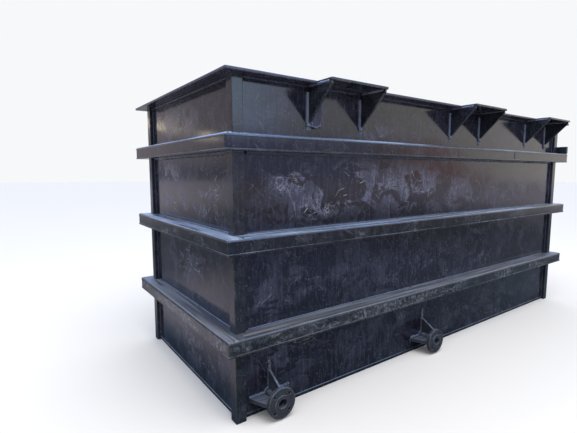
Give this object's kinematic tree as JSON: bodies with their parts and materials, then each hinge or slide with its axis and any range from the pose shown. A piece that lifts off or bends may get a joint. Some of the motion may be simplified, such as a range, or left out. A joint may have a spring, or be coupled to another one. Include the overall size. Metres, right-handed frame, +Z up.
{
  "type": "open-topped rectangular process tank",
  "caption": "Rectangular open-topped plastic process tank with steel-cored reinforcing bands, a plate rim, shelf brackets and flanged drains.",
  "frame": {"origin": "on the underside of the floor plate, at the middle of the shell's footprint", "axes": "+X along the tank's length, -Y out of the front long side with the brackets and drains, +Z up"},
  "size_m": [3.712, 1.589, 1.75],
  "materials": {
    "shell_plastic": "scuffed gloss",
    "trim_plastic": "worn semi-gloss",
    "drain_plastic": "dusty matte",
    "steel_tube": "primer"
  },
  "bodies": {
    "root": {"floor_plate": "shell_plastic", "wall_front": "shell_plastic", "wall_back": "shell_plastic", "wall_left": "shell_plastic", "wall_right": "shell_plastic", "rim_front": "trim_plastic", "rim_back": "trim_plastic", "rim_left": "trim_plastic", "rim_right": "trim_plastic", "post_front_left": "trim_plastic", "post_front_right": "trim_plastic", "post_back_left": "trim_plastic", "post_back_right": "trim_plastic", "band_upper_tube": "steel_tube", "band_upper_top": "trim_plastic", "band_upper_bottom": "trim_plastic", "band_upper_face_front": "trim_plastic", "band_upper_face_back": "trim_plastic", "band_upper_face_left": "trim_plastic", "band_upper_face_right": "trim_plastic", "band_middle_tube": "steel_tube", "band_middle_top": "trim_plastic", "band_middle_bottom": "trim_plastic", "band_middle_face_front": "trim_plastic", "band_middle_face_back": "trim_plastic", "band_middle_face_left": "trim_plastic", "band_middle_face_right": "trim_plastic", "band_lower_tube": "steel_tube", "band_lower_top": "trim_plastic", "band_lower_bottom": "trim_plastic", "band_lower_face_front": "trim_plastic", "band_lower_face_back": "trim_plastic", "band_lower_face_left": "trim_plastic", "band_lower_face_right": "trim_plastic", "end_upstand": "trim_plastic", "shelf_1": "trim_plastic", "shelf_1_gusset_left": "trim_plastic", "shelf_1_gusset_right": "trim_plastic", "shelf_2": "trim_plastic", "shelf_2_gusset_left": "trim_plastic", "shelf_2_gusset_right": "trim_plastic", "shelf_3": "trim_plastic", "shelf_3_gusset_left": "trim_plastic", "shelf_3_gusset_right": "trim_plastic", "shelf_1_pad": "trim_plastic", "drain_near_stub": "drain_plastic", "drain_near_flange": "drain_plastic", "drain_near_gusset_top": "drain_plastic", "drain_near_gusset_left": "drain_plastic", "drain_near_gusset_right": "drain_plastic", "drain_far_stub": "drain_plastic", "drain_far_flange": "drain_plastic", "drain_far_gusset_top": "drain_plastic", "drain_far_gusset_left": "drain_plastic", "drain_far_gusset_right": "drain_plastic"}
  },
  "joints": []
}
